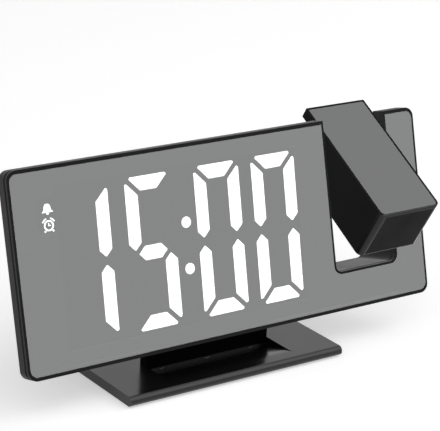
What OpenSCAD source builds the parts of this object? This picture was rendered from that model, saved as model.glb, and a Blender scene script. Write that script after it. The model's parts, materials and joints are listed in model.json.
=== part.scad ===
// Projection alarm clock: a thin mirror-fronted body on a flat stand, with a projector block that
// tilts in a notch at the body's upper right. Millimetres, +Z up, the front faces -Y.
// The origin is on the desk, under the foot of the neck, at the middle of the body's width.

/* [Body] */
// Width of the body
body_w = 195.6; // [185:0.1:240]
// Height of the body, measured up its front
body_h = 79.2; // [75:0.2:95]
// Depth of the thin rim round the body
rim_d = 6.5; // [6:0.1:8]
// Depth of the body at its raised back
back_d = 22.5; // [22:0.5:28]
// Radius of the body's corners
corner_r = 4; // [2:0.5:8]
// How far the body leans back, in degrees
lean = 15; // [8:1:20]
// Height of the body's lower front edge over the desk
body_lift = 17.75; // [16:0.05:26]
// How far the body's lower front edge lies before the neck
body_reach = 17.25; // [16.5:0.05:18]
// Width of the black edge above and below the mirror
bezel = 1.4; // [0.4:0.1:2]
// Width of the black edge at the mirror's sides and round the notch
side_bezel = 0.9; // [0.4:0.1:2]
// Thickness of the mirror pane
pane_t = 0.8; // [0.6:0.1:1]
// Depth of the front frame's visible edge
frame_d = 1.3; // [1.3:0.1:2.2]
// Open groove between the front frame and the rear case
groove = 1.2; // [0.3:0.1:1.2]
// Wall of the rear case
case_wall = 1.8; // [1.4:0.1:2.2]

/* [Raised back] */
// Inset of the raised back from the body's left side
back_inset_l = 11; // [9:0.5:14]
// Inset of the raised back from the body's right side
back_inset_r = 5; // [3:0.5:6]
// Inset of the raised back from the body's top
back_inset_t = 3.4; // [3:0.1:6]
// Inset of the raised back from the body's bottom
back_inset_b = 6; // [4:0.5:8]
// Radius of the raised back's corners
back_r = 6; // [3:0.5:10]
// Bevel along the raised back's edges
back_bevel = 1.5; // [0.5:0.1:2]

/* [Notch] */
// Width of the notch that holds the projector
notch_w = 31.7; // [28:0.1:36]
// Width of the column to the right of the notch
column_w = 16.2; // [15:0.1:20]
// Height of the notch's floor above the body's bottom
notch_floor = 16.25; // [12:0.05:20]
// Radius of the notch's lower corners
notch_r = 2.8; // [1.5:0.1:5]

/* [Display] */
// Inset of the block of digits from the body's left side
display_inset = 19.45; // [19:0.05:24]
// Height of a digit
digit_h = 59.8; // [50:0.2:62]
// Width of a digit
digit_w = 21.6; // [18:0.2:24]
// Width of a segment
segment_w = 5.7; // [4:0.1:6.5]
// Open gap between two segments
segment_gap = 1.9; // [1:0.1:2.4]
// Lean of the digits to the right, in degrees
digit_slant = 1.3; // [0:0.1:6]
// Diameter of a colon dot
colon_d = 4.5; // [3:0.1:6]
// Height between the colon's two dots
colon_pitch = 18.3; // [14:0.1:24]
// Depth of the block that holds the segments
block_d = 6.8; // [5:0.1:8]
// Thickness of the segments
segment_t = 1; // [0.6:0.1:2]

/* [Projector] */
// Depth of the projector block
projector_d = 24.4; // [22:0.1:25]
// Running gap on each side of the projector block
projector_gap = 0.45; // [0.3:0.05:1]
// Gap between the closed block's lower end and the notch's floor
projector_foot_gap = 1.6; // [1.5:0.1:3]
// Rise of the closed block's upper end over the body's top, less than 0 for a drop below it
projector_rise = -0.1; // [-1:0.1:1]
// Height of the hinge below the body's top
hinge_drop = 11.25; // [9:0.05:14]
// Depth of the hinge behind the body's front
hinge_w = 11.8; // [11:0.1:13]
// Tilt of the projector block out of the body, in degrees
projector_tilt = 45; // [0:1:90]
// Wall of the projector block
projector_wall = 1.6; // [1.2:0.1:2]
// Thickness of the hood over the lens
hood_t = 4.3; // [3.5:0.1:4.6]
// Width of the black edge round the block's mirror
projector_bezel = 0.9; // [0.4:0.1:2]
// Length of the hood over the lens
hood_len = 3.9; // [3:0.1:5]
// Radius of the corners at the block's lower end
nose_r = 3; // [1:0.5:5]

/* [Hinge and optics] */
// Radius of the hollow left axle
axle_l_r = 3.5; // [3:0.1:4]
// Radius of the right axle
axle_r_r = 3; // [2.5:0.1:3.5]
// Radius of the bore through the left axle
axle_bore_r = 2; // [1.5:0.1:2.4]
// Radial clearance of an axle in its bush, and of the lens barrel
running_gap = 0.05; // [0.02:0.01:0.1]
// Radius of the lens barrel
barrel_r = 6.6; // [5.5:0.1:7]
// Radius of the focus ring's grip
focus_r = 8.6; // [8.4:0.1:9]

/* [Stand] */
// Sideways place of the stand's middle
stand_x = -4.5; // [-10:0.5:10]
// Width of the base
base_w = 103.4; // [90:0.2:140]
// Depth of the base
base_depth = 60.7; // [50:0.1:80]
// How far the base reaches before the neck
base_reach = 23.3; // [20:0.1:32]
// Thickness of the base
base_t = 4.1; // [3.6:0.1:6]
// Width of the neck
neck_w = 60; // [50:0.5:72]
// Thickness of the neck
neck_t = 4; // [3:0.1:4]
// Length of the scoop before the neck
scoop_len = 17.3; // [10:0.1:20]
// Height of a rubber foot below the base
foot_drop = 0.6; // [0.4:0.1:2]
// Radius of a rubber foot
foot_r = 4; // [3:0.1:6]

/* [Buttons] */
// Travel of a rear button
button_travel = 0.5; // [0.3:0.05:0.5]
// Width of a rear button
button_w = 8.5; // [6:0.1:9]
// Height of a rear button
button_h = 5; // [4:0.1:7]
// Sideways step from one rear button to the next
button_pitch = 12; // [11:0.5:14]
// Length of the snooze bar
snooze_w = 40; // [24:0.5:60]
// Travel of the snooze bar
snooze_travel = 0.6; // [0.3:0.05:0.6]

/* [Hidden] */
$fn = 48;

tiny = 0.01;               // overlap that joins shapes cleanly
fit = 0.05;                // side clearance of a seated part
seat_gap = 0.3;            // clearance between parts that only lie near each other

// Body outline, in the body's own frame: X across, Y back from the front, Z up the front.
body_l = -body_w / 2;
body_rt = body_w / 2;
notch_rt = body_rt - column_w;
notch_l = notch_rt - notch_w;
back_l = body_l + back_inset_l;
back_rt = body_rt - back_inset_r;
back_top = body_h - back_inset_t;
back_floor = back_d - case_wall;          // inner face of the rear wall
rim_wall = 1.6;                           // side wall of the thin rim
rim_floor = rim_d - 1.5;                  // inner face of the rim's back
case_front = frame_d + groove;            // where the rear case begins

// Display
digit_count = 4;
digit_offsets = [-44.9, -15.7, 16.3, 44]; // digit centres, from the display's middle
block_margin = 1.3;
block_l = body_l + display_inset;
display_x = block_l + block_margin + digit_w / 2 - digit_offsets[0];
display_z = body_h / 2 - 0.1;
colon_offset = 0.4;                       // the colon, from the display's middle
colon_drop = 0.25;                        // the colon's middle, from the digits' middle
block_front = pane_t + 0.2;
block_back = block_front + block_d;
block_rt = display_x + digit_offsets[3] + digit_w / 2 + block_margin;
block_b = display_z - digit_h / 2 - block_margin;
block_top = display_z + digit_h / 2 + block_margin;
icon_x = body_l + 16.1;                   // middle of the alarm window
icon_z = display_z + 20.6;
icon_w = 9;
icon_h = 13;
icon_depth = 3.2;
board_t = 1.2;
display_board_y = block_back + 0.1;
led_h = 0.7;

// Main board and what stands on it
main_y = 12.6;
main_t = 1.4;
main_back = main_y + main_t;
main_l = back_l + case_wall + 0.5;
main_rt = block_rt;
main_b = back_inset_b + 15;
main_top = body_h - 20.2;
post_r = 2.5;
post_hole_r = 0.9;
post_at = [[main_l + 11.7, main_b + 4], [main_l + 11.7, main_top - 4],
  [main_rt - 4, main_b + 4], [main_rt - 4, main_top - 4]];
button_z = main_top - 9;
buttons_x = display_x - 9;                // middle of the row of rear buttons
switch_w = 6;
switch_h = 3.5;
switch_stem_r = 1.7;
switch_stem_h = 0.7;
button_stem_gap = button_travel + 0.1;
snooze_x = display_x;
snooze_y = 13.5;
snooze_d = 8;
snooze_proud = 0.8;
snooze_switch_y = main_back + 1.75;
snooze_switch_top = main_top + 2;
speaker_x = main_l + 33.7;
speaker_z = main_b + 12;
speaker_r = 11;
cell_x = display_x + 31.2;
cell_z = main_b + 10.5;
cell_r = 10;
cell_t = 3.2;
door_w = 25;
door_h = 24;
usb_z = main_b + 24;
usb_w = 13.2;
usb_h = 5.7;
usb_len = 14;
power_z = main_b + 10.5;
power_w = 9;
power_h = 3.2;
power_len = 7.5;

// Case screws: places, and sizes of a screw and its bosses
boss_r = 2.8;
screw_r = 1.1;
screw_head_r = 2.2;
screw_head_h = 1.4;
case_screw_len = 16;
boss_inset = 0.6;                         // clearance of a boss to the walls beside it
boss_split = 12.9;                        // where the two halves of a boss meet
screw_l = back_l + case_wall + boss_r + boss_inset;
screw_m = notch_l - case_wall - boss_r - 0.3;
screw_rt = (notch_rt + back_rt) / 2;
screw_b = back_inset_b + case_wall + boss_r + boss_inset;
screw_t = back_top - case_wall - boss_r - boss_inset;
screw_mid = body_h - 28;
case_screw_at = [[screw_l, screw_b], [screw_l, screw_t], [screw_m, screw_b],
  [screw_m, screw_mid], [screw_rt, screw_b], [screw_rt, screw_mid]];

// Projector, in its own frame: origin on the hinge axis, Y back and Z up when it is closed
hinge_z = body_h - hinge_drop;
proj_l = notch_l + projector_gap;
proj_rt = notch_rt - projector_gap;
proj_x = (proj_l + proj_rt) / 2;
proj_front = -hinge_w;
proj_back = projector_d - hinge_w;
proj_foot = notch_floor + projector_foot_gap - hinge_z;
proj_top = body_h + projector_rise - hinge_z;
step_z = proj_top - hood_len;
hood_y = proj_front + hood_t;
edge_r = 1.2;                             // rounding along the lower end's edges
inner_front = proj_front + pane_t + projector_wall;
inner_back = proj_back - 1.8;
inner_l = proj_l + projector_wall;
inner_rt = proj_rt - projector_wall;
inner_foot = proj_foot + projector_wall;
inner_top = step_z - 1.8;
lens_y = (hood_y + proj_back) / 2 - 0.35;
cover_post_r = 2.2;
cover_screw_at = [[inner_l + 2.2, inner_foot + 3], [inner_rt - 2.2, inner_foot + 3],
  [inner_rt - 2.2, -11]];
lamp_board_z = inner_foot + 5.5;
lamp_board_t = 1.6;
frame_foot = lamp_board_z + 7;
frame_top = -16;
condenser_r = 8;
guide_top = -6;
barrel_foot = -13;
barrel_top = step_z + 2.2;
barrel_wall = 1.2;

// Hinge
bush_wall = 1.1;
bush_len = 5.5;
bush_flange_r = 5.3;
bush_flange_t = 1;
axle_flange_r = 5;
axle_flange_t = 1.5;
washer_t = 1;
clip_t = 0.8;
ear_r = 6.6;                              // boss in the rear case round a bush
ear_pocket = 9;                           // width kept clear for it in the front frame
lead_r = 1.2;

// Stand
base_front = -base_reach;
base_back = base_depth - base_reach;
base_l = stand_x - base_w / 2;
base_rt = stand_x + base_w / 2;
base_top = foot_drop + base_t;
neck_l = stand_x - neck_w / 2;
neck_rt = stand_x + neck_w / 2;
neck_seat = foot_drop + 2;                // the neck stands on this ledge
neck_len = 28.5;
neck_slot_gap = 0.2;
scoop_floor = foot_drop + 1.1;
stand_screw_x = [stand_x - 22, stand_x, stand_x + 22];
stand_screw_len = 9;
neck_screw_x = [stand_x - 20.5, stand_x + 20.5];
neck_screw_z = back_inset_b + 7;          // height of the neck's screws up the body
neck_screw_len = 9;
foot_t = foot_drop + 0.3;
foot_inset = 7;

// ---- frames and basic shapes ----

// The leaning body's frame
module on_body() {
  translate([0, -body_reach, body_lift]) rotate([-lean, 0, 0]) children();
}

// The projector's frame, tilted about the hinge
module on_projector() {
  on_body() translate([0, hinge_w, hinge_z]) rotate([-projector_tilt, 0, 0]) children();
}

// A flat outline in X and Z, made solid from y0 back to y1
module deep(y0, y1) {
  translate([0, y1, 0]) rotate([90, 0, 0]) linear_extrude(y1 - y0) children();
}

// A side profile in Y and Z, made solid from x0 across to x1
module across(x0, x1) {
  translate([x0, 0, 0]) rotate([90, 0, 90]) linear_extrude(x1 - x0) children();
}

module rounded_rect(x0, z0, x1, z1, r) {
  translate([x0 + r, z0]) square([x1 - x0 - 2 * r, z1 - z0]);
  translate([x0, z0 + r]) square([x1 - x0, z1 - z0 - 2 * r]);
  for (x = [x0 + r, x1 - r], z = [z0 + r, z1 - r]) translate([x, z]) circle(r);
}

module block(x0, x1, y0, y1, z0, z1) {
  translate([x0, y0, z0]) cube([x1 - x0, y1 - y0, z1 - z0]);
}

// Round bar along X, along Y or along Z
module bar_x(x0, x1, y, z, r) {
  translate([x0, y, z]) rotate([0, 90, 0]) cylinder(x1 - x0, r, r);
}
module bar_y(x, y0, y1, z, r) {
  translate([x, y0, z]) rotate([-90, 0, 0]) cylinder(y1 - y0, r, r);
}
module bar_z(x, y, z0, z1, r) {
  translate([x, y, z0]) cylinder(z1 - z0, r, r);
}

// Insulated wires bundled round a route of straight stretches
module lead(points, r) {
  for (i = [0 : len(points) - 2]) {
    run = points[i + 1] - points[i];
    translate(points[i]) rotate([0, acos(run[2] / norm(run)), atan2(run[1], run[0])])
      cylinder(norm(run), r, r, $fn = 24);
    if (i > 0) translate(points[i]) sphere(r + tiny, $fn = 24);
  }
}

// Screw along Y with its head towards +Y, the head's outer face at y
module screw_y(x, y, z, length) {
  bar_y(x, y - length, y - screw_head_h + tiny, z, screw_r);
  difference() {
    bar_y(x, y - screw_head_h, y, z, screw_head_r);
    block(x - 1.6, x + 1.6, y - 0.6, y + 1, z - 0.3, z + 0.3);
    block(x - 0.3, x + 0.3, y - 0.6, y + 1, z - 1.6, z + 1.6);
  }
}

// ---- outlines of the body ----

module notch_outline(grow) {
  rounded_rect(notch_l - grow, notch_floor - grow, notch_rt + grow, body_h + 20, notch_r + grow);
}

module body_outline(inset) {
  difference() {
    rounded_rect(body_l + inset, inset, body_rt - inset, body_h - inset,
      max(corner_r - inset, 0.5));
    notch_outline(inset);
  }
}

module pane_outline(gap) {
  side = side_bezel + gap;
  difference() {
    rounded_rect(body_l + side, bezel + gap, body_rt - side, body_h - bezel - gap,
      max(corner_r - side, 0.5));
    notch_outline(side);
  }
}

module back_outline(inset) {
  difference() {
    rounded_rect(back_l + inset, back_inset_b + inset, back_rt - inset, back_top - inset,
      back_r - inset);
    notch_outline(inset);
  }
}

module block_outline(gap) {
  translate([block_l - gap, block_b - gap])
    square([block_rt - block_l + 2 * gap, block_top - block_b + 2 * gap]);
}

module icon_outline(gap) {
  translate([icon_x - icon_w / 2 - gap, icon_z - icon_h / 2 - gap])
    square([icon_w + 2 * gap, icon_h + 2 * gap]);
}

// The arm that joins the alarm window's frame to the block of digits
module icon_arm(gap) {
  translate([icon_x, icon_z - icon_h / 2 - gap])
    square([block_l - icon_x + 1, icon_h + 2 * gap]);
}

// ---- body shell ----

module front_frame() {
  color("#17181a") on_body() difference() {
    union() {
      deep(0, frame_d) body_outline(0);
      deep(frame_d - tiny, rim_floor - 0.2) difference() {
        body_outline(rim_wall + 0.2);
        body_outline(rim_wall + 1.4);
      }
      for (p = case_screw_at) bar_y(p[0], frame_d - tiny, boss_split, p[1], boss_r);
    }
    deep(-1, pane_t) pane_outline(0);
    deep(-1, frame_d + 1) {
      block_outline(0.2);
      icon_outline(0.2);
      icon_arm(0.2);
    }
    for (p = case_screw_at) bar_y(p[0], 4, boss_split + 1, p[1], screw_r + 0.02);
    for (x = [notch_l - ear_pocket, notch_rt]) block(x, x + ear_pocket, frame_d, rim_floor + 1,
      hinge_z - ear_r - seat_gap, hinge_z + ear_r + seat_gap);
  }
}

module mirror_pane() {
  color("#8a8c8a") on_body() deep(0, pane_t) pane_outline(fit);
}

// Raised back with bevelled rear edges
module raised_back() {
  b = back_bevel;
  intersection() {
    deep(rim_d - tiny, back_d) back_outline(0);
    across(back_l, back_rt) polygon([[0, 0], [back_d - b, 0], [back_d - b, back_inset_b],
      [back_d, back_inset_b + b], [back_d, back_top - b], [back_d - b, back_top],
      [back_d - b, body_h], [0, body_h]]);
    translate([0, 0, -1]) linear_extrude(body_h + 2) polygon([[back_l, 0],
      [back_l, back_d - b], [back_l + b, back_d], [back_rt - b, back_d],
      [back_rt, back_d - b], [back_rt, 0]]);
  }
}

module speaker_slots() {
  slot_count = 7;
  slot_pitch = 2.6;
  for (i = [0 : slot_count - 1]) {
    z = (i - (slot_count - 1) / 2) * slot_pitch;
    half = sqrt(pow(speaker_r - 1.5, 2) - z * z);
    block(speaker_x - half, speaker_x + half, back_floor - 1, back_d + 1,
      speaker_z + z - 0.6, speaker_z + z + 0.6);
  }
}

module button_hole(x) {
  deep(back_floor - 1, back_d + 1) rounded_rect(x - button_w / 2 - seat_gap,
    button_z - button_h / 2 - seat_gap, x + button_w / 2 + seat_gap,
    button_z + button_h / 2 + seat_gap, 1.5);
}

function button_x(i) = buttons_x + (i - 2) * button_pitch;

module rear_case() {
  color("#1b1c1e") difference() {
    on_body() difference() {
      union() {
        difference() {
          union() {
            deep(case_front, rim_d) body_outline(0);
            raised_back();
          }
          deep(case_front - 1, rim_floor) body_outline(rim_wall);
          deep(rim_floor - 1, back_floor) back_outline(case_wall);
        }
        for (p = case_screw_at) bar_y(p[0], boss_split + 0.1, back_floor + tiny, p[1], boss_r);
        for (p = post_at) bar_y(p[0], main_back, back_floor + tiny, p[1], post_r);
        for (x = neck_screw_x) bar_y(x, 19, back_floor + tiny, neck_screw_z, boss_r);
        bar_x(notch_l - bush_len + bush_flange_t, notch_l - tiny, hinge_w, hinge_z, ear_r);
        bar_x(notch_rt + tiny, notch_rt + bush_len - bush_flange_t, hinge_w, hinge_z, ear_r);
      }
      for (p = case_screw_at) {
        bar_y(p[0], boss_split - 1, back_d + 1, p[1], screw_r + 0.15);
        bar_y(p[0], back_d - screw_head_h - 0.1, back_d + 1, p[1], screw_head_r + 0.2);
      }
      for (p = post_at) bar_y(p[0], main_back - 1, back_floor - 1.5, p[1], post_hole_r + 0.02);
      for (x = neck_screw_x) {
        bar_y(x, 15, back_d + 1, neck_screw_z, screw_r + 0.15);
        bar_y(x, back_d - screw_head_h - 0.1, back_d + 1, neck_screw_z, screw_head_r + 0.2);
      }
      bar_x(notch_l - bush_len - 1, notch_l + 1, hinge_w, hinge_z,
        axle_l_r + running_gap + bush_wall + 0.02);
      bar_x(notch_rt - 1, notch_rt + bush_len + 1, hinge_w, hinge_z,
        axle_r_r + running_gap + bush_wall + 0.02);
      for (i = [0 : 4]) button_hole(button_x(i));
      speaker_slots();
      block(cell_x - door_w / 2 - 0.2, cell_x + door_w / 2 + 0.2, back_floor - 1, back_d + 1,
        cell_z - door_h / 2 - 0.2, cell_z + door_h / 2 + 0.2);
      block(back_l - 1, back_l + case_wall + 1, main_back - 0.1, main_back + usb_h + 0.2,
        usb_z - usb_w / 2 - 0.2, usb_z + usb_w / 2 + 0.2);
      block(back_l - 1, back_l + case_wall + 1, main_back - 0.1, main_back + power_h + 0.2,
        power_z - power_w / 2 - 0.2, power_z + power_w / 2 + 0.2);
      block(snooze_x - snooze_w / 2 - seat_gap, snooze_x + snooze_w / 2 + seat_gap,
        snooze_y - snooze_d / 2 - seat_gap, snooze_y + snooze_d / 2 + seat_gap,
        back_top - case_wall - 1, back_top + 1);
    }
    // slot in the bottom for the neck
    block(neck_l - neck_slot_gap, neck_rt + neck_slot_gap, -neck_slot_gap,
      neck_t + neck_slot_gap, 0, neck_seat + neck_len + 1);
  }
}

module case_screws() {
  color("#3a3b3d") on_body() for (p = case_screw_at)
    screw_y(p[0], back_d - 0.05, p[1], case_screw_len);
}

// ---- display ----

// The seven segments of a digit about its middle, as outlines leaning with the digit. a is the top
// one, then b and c down the right, d the bottom, e and f up the left, and g the middle one.
function slanted(points) = [for (p = points) [p[0] + p[1] * tan(digit_slant), p[1]]];
function flipped(points, sx, sz) = [for (p = points) [p[0] * sx, p[1] * sz]];

half_w = digit_w / 2;
half_h = digit_h / 2;
mitre = segment_gap / sqrt(2);
tip_cut = 1.3;                            // the blunt outer tip of a segment

function flat_segment() = [
  [-half_w + mitre + tip_cut, half_h], [half_w - mitre - tip_cut, half_h],
  [half_w - mitre - tip_cut * 0.6, half_h - tip_cut * 0.6],
  [half_w - segment_w - mitre, half_h - segment_w],
  [-half_w + segment_w + mitre, half_h - segment_w],
  [-half_w + mitre + tip_cut * 0.6, half_h - tip_cut * 0.6]];

function upright_segment() = [
  [half_w, half_h - mitre - tip_cut], [half_w, segment_w / 2 + mitre],
  [half_w - segment_w / 2, mitre], [half_w - segment_w, segment_w / 2 + mitre],
  [half_w - segment_w, half_h - segment_w - mitre],
  [half_w - tip_cut * 0.6, half_h - mitre - tip_cut * 0.6]];

function middle_segment() = let (r = half_w - segment_w / 2 - mitre, t = segment_w / 2) [
  [-r, 0], [-r + t, t], [r - t, t], [r, 0], [r - t, -t], [-r + t, -t]];

function segment(name) = slanted(
  name == "a" ? flat_segment() :
  name == "b" ? upright_segment() :
  name == "c" ? flipped(upright_segment(), 1, -1) :
  name == "d" ? flipped(flat_segment(), 1, -1) :
  name == "e" ? flipped(upright_segment(), -1, -1) :
  name == "f" ? flipped(upright_segment(), -1, 1) : middle_segment());

all_segments = "abcdefg";
// Segments that are lit in each digit, so that the display reads 15:00
shown = ["bc", "acdfg", "abcdef", "abcdef"];
function is_lit(digit, name) = len(search(name, shown[digit])) > 0;

module segments(lit, dark, shrink = 0) {
  for (digit = [0 : digit_count - 1], name = all_segments)
    if (is_lit(digit, name) ? lit : dark)
      translate([display_x + digit_offsets[digit], display_z])
        scaled_outline(segment(name), shrink);
}

// An outline moved inwards by about the given amount, towards its own middle
module scaled_outline(points, shrink) {
  middle = [for (k = [0, 1]) (max([for (p = points) p[k]]) + min([for (p = points) p[k]])) / 2];
  reach = min([for (k = [0, 1]) max([for (p = points) abs(p[k] - middle[k])])]);
  s = 1 - shrink / reach;
  polygon([for (p = points) middle + (p - middle) * s]);
}

module colon_outline(r) {
  for (side = [-1, 1])
    translate([display_x + colon_offset + side * colon_pitch / 2 * tan(digit_slant),
      display_z - colon_drop + side * colon_pitch / 2]) circle(r);
}

module display_block() {
  color("#101113") on_body() difference() {
    union() {
      deep(block_front, block_back) block_outline(0);
      deep(block_front, block_front + icon_depth) {
        icon_outline(0);
        icon_arm(0);
      }
    }
    deep(block_front - 1, block_back + 1) {
      segments(true, true);
      colon_outline(colon_d / 2);
    }
    deep(block_front - 1, block_back + 1) icon_outline(-1);
  }
}

module lit_segments() {
  color("#ffffff") on_body() deep(block_front, block_front + segment_t)
    segments(true, false, fit);
}

module unlit_segments() {
  color("#26272a") on_body() deep(block_front, block_front + segment_t)
    segments(false, true, fit);
}

module colon_dots() {
  color("#ffffff") on_body() deep(block_front, block_front + segment_t)
    colon_outline(colon_d / 2 - fit);
}

module alarm_window() {
  color("#0c0d0e") on_body() deep(block_front, block_front + segment_t)
    icon_outline(-1 - fit);
}

// A small bell over a small clock face
module alarm_icons() {
  bell_w = 4.2;
  bell_h = 4;
  face_r = 2.5;
  line = 0.5;
  color("#ffffff") on_body() deep(block_front - 0.15, block_front) {
    translate([icon_x, icon_z + 3.1]) {
      polygon([[-bell_w / 2, -bell_h * 0.4], [-bell_w * 0.36, -bell_h * 0.2],
        [-bell_w * 0.3, bell_h * 0.25], [-bell_w * 0.12, bell_h * 0.45],
        [bell_w * 0.12, bell_h * 0.45], [bell_w * 0.3, bell_h * 0.25],
        [bell_w * 0.36, -bell_h * 0.2], [bell_w / 2, -bell_h * 0.4]]);
      translate([0, -bell_h * 0.56]) circle(0.45);
    }
    translate([icon_x, icon_z - 3.4]) {
      difference() {
        circle(face_r);
        circle(face_r - line);
      }
      translate([-line / 2, -line / 2]) square([line, face_r * 0.6]);
      translate([-line / 2, -line / 2]) square([face_r * 0.5, line]);
      for (side = [-1, 1]) translate([side * face_r * 0.8, face_r * 1.05]) circle(0.6);
    }
  }
}

module display_board() {
  color("#1d4a2c") on_body() deep(display_board_y, display_board_y + board_t) {
    block_outline(0);
    translate([icon_x - 2.2, icon_z - icon_h / 2]) square([block_l - icon_x + 3, icon_h]);
  }
}

// A pair of light emitters behind each segment and one behind each dot and icon
module display_leds() {
  led_w = 1.6;
  led_d = 0.9;
  pair_share = 0.24;                      // each emitter's place along its segment
  y1 = display_board_y;
  color("#e8e4c8") on_body() {
    for (digit = [0 : digit_count - 1], name = all_segments) {
      points = segment(name);
      mid = [for (k = [0, 1]) (max([for (p = points) p[k]]) + min([for (p = points) p[k]])) / 2];
      size = [for (k = [0, 1]) max([for (p = points) p[k]]) - min([for (p = points) p[k]])];
      along = size[0] > size[1] ? [size[0], 0] : [0, size[1]];
      for (side = [-1, 1]) {
        at = [display_x + digit_offsets[digit], display_z] + mid + along * pair_share * side;
        block(at[0] - led_w / 2, at[0] + led_w / 2, y1 - led_h, y1, at[1] - led_d / 2,
          at[1] + led_d / 2);
      }
    }
    for (side = [-1, 1]) {
      z = display_z - colon_drop + side * colon_pitch / 2;
      block(display_x + colon_offset - led_w / 2, display_x + colon_offset + led_w / 2,
        y1 - led_h, y1, z - led_d / 2, z + led_d / 2);
      block(icon_x + 0.6, icon_x + 0.6 + led_w, y1 - led_h, y1, icon_z + side * 3 - led_d / 2,
        icon_z + side * 3 + led_d / 2);
    }
  }
}

// ---- electronics ----

module main_board() {
  color("#1d4a2c") on_body() difference() {
    block(main_l, main_rt, main_y, main_back, main_b, main_top);
    for (p = post_at) bar_y(p[0], main_y - 1, main_back + 1, p[1], post_hole_r + 0.2);
  }
}

module board_screws() {
  head_h = 1.2;
  color("#b8babd") on_body() for (p = post_at) {
    bar_y(p[0], main_y - head_h, main_y, p[1], 1.8);
    bar_y(p[0], main_y - tiny, back_floor - 2, p[1], post_hole_r);
  }
}

// Clock chip, timing crystal, driver chips, capacitors and the lamp lead's socket
module board_parts() {
  y = main_y;
  chip_x = display_x - 14;
  chip_z = main_b + 22;
  color("#202224") on_body() {
    block(chip_x - 5, chip_x + 5, y - 1.4, y, chip_z - 5, chip_z + 5);
    for (i = [0 : 1]) block(chip_x + 14 + i * 14, chip_x + 24 + i * 14, y - 1.4, y,
      chip_z - 3, chip_z + 3);
    deep(y - 2, y) rounded_rect(chip_x - 14, chip_z - 1.5, chip_x - 8, chip_z + 1.5, 1.4);
    for (i = [0 : 1]) bar_y(main_l + 12 + i * 7, y - 2.6, y, chip_z - 12, 2.5);
    block(lead_end_x - 4, lead_end_x + 4, y - 2.4, y, lead_end_z - 5, lead_end_z);
  }
}

module board_header() {
  header_w = 20;
  header_x = display_x + 4;
  header_z = main_b + 6;
  color("#0e0e0f") on_body() block(header_x - header_w / 2, header_x + header_w / 2,
    display_board_y + board_t, main_y, header_z, header_z + 2.5);
}

// Push switches: one under each rear button, and one that lies under the snooze bar's leg
module button_switches() {
  half = switch_w / 2;
  color("#2b2c2e") on_body() {
    for (i = [0 : 4]) {
      block(button_x(i) - half, button_x(i) + half, main_back, main_back + switch_h,
        button_z - half, button_z + half);
      bar_y(button_x(i), main_back + switch_h - tiny, main_back + switch_h + switch_stem_h,
        button_z, switch_stem_r);
    }
    block(snooze_x - half, snooze_x + half, main_back, main_back + switch_h,
      snooze_switch_top - switch_w, snooze_switch_top);
    bar_z(snooze_x, snooze_switch_y, snooze_switch_top - tiny, snooze_switch_top + switch_stem_h,
      1.5);
  }
}

module speaker() {
  color("#2a2b2d") on_body() difference() {
    bar_y(speaker_x, main_back + 1.2, back_floor - seat_gap, speaker_z, speaker_r);
    bar_y(speaker_x, back_floor - seat_gap - 1, back_floor, speaker_z, speaker_r - 1.5);
  }
}

module cell_holder() {
  wall = 1.2;
  y0 = main_back;
  color("#d8d4c6") on_body() difference() {
    bar_y(cell_x, y0, y0 + 3.2, cell_z, cell_r + fit + wall);
    bar_y(cell_x, y0 + 0.9, y0 + 4, cell_z, cell_r + fit);
    block(cell_x - 4, cell_x + 4, y0 + 0.9, y0 + 4, cell_z + cell_r - 2, cell_z + cell_r + 4);
  }
}

module coin_cell() {
  y0 = main_back + 0.9;
  color("#c9cbce") on_body() {
    bar_y(cell_x, y0, y0 + 0.7, cell_z, cell_r - 0.8);
    bar_y(cell_x, y0 + 0.7 - tiny, y0 + cell_t, cell_z, cell_r);
  }
}

// Snap-in door over the coin cell, with a finger recess
module battery_door() {
  x0 = cell_x - door_w / 2;
  x1 = cell_x + door_w / 2;
  z0 = cell_z - door_h / 2;
  z1 = cell_z + door_h / 2;
  recess_r = 3.5;
  color("#1b1c1e") on_body() difference() {
    union() {
      block(x0, x1, back_d - case_wall, back_d, z0, z1);
      for (x = [x0 + 1, x1 - 2]) block(x, x + 1, back_floor - 1.6, back_floor + tiny,
        z0 + 8, z1 - 8);
    }
    bar_y(cell_x, back_d - 0.8, back_d + 1, z1 - recess_r - 1.5, recess_r);
  }
}

module usb_port() {
  x0 = back_l + 0.2;
  y0 = main_back;
  z0 = usb_z - usb_w / 2;
  color("#b9bbbe") on_body() {
    difference() {
      block(x0, x0 + usb_len, y0, y0 + usb_h, z0, z0 + usb_w);
      block(x0 - 1, x0 + usb_len - 2, y0 + 0.4, y0 + usb_h - 0.4, z0 + 0.4, z0 + usb_w - 0.4);
    }
    block(x0 + 1, x0 + usb_len - 2 + tiny, y0 + usb_h - 2.4, y0 + usb_h - 0.6, z0 + 1.2,
      z0 + usb_w - 1.2);
  }
}

module power_socket() {
  x0 = back_l + 0.2;
  y0 = main_back;
  round_r = power_h / 2 - tiny;
  z0 = power_z - power_w / 2;
  color("#b9bbbe") on_body() difference() {
    translate([0, y0, 0]) across(x0, x0 + power_len)
      rounded_rect(0, z0, power_h, z0 + power_w, round_r);
    translate([0, y0, 0]) across(x0 - 1, x0 + power_len - 1.5)
      rounded_rect(0.35, z0 + 0.35, power_h - 0.35, z0 + power_w - 0.35, round_r - 0.35);
  }
  color("#202224") on_body() block(x0 + 1, x0 + power_len - 1.5 + tiny, y0 + power_h / 2 - 0.35,
    y0 + power_h / 2 + 0.35, z0 + 1.6, z0 + power_w - 1.6);
}

// ---- buttons ----

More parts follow.
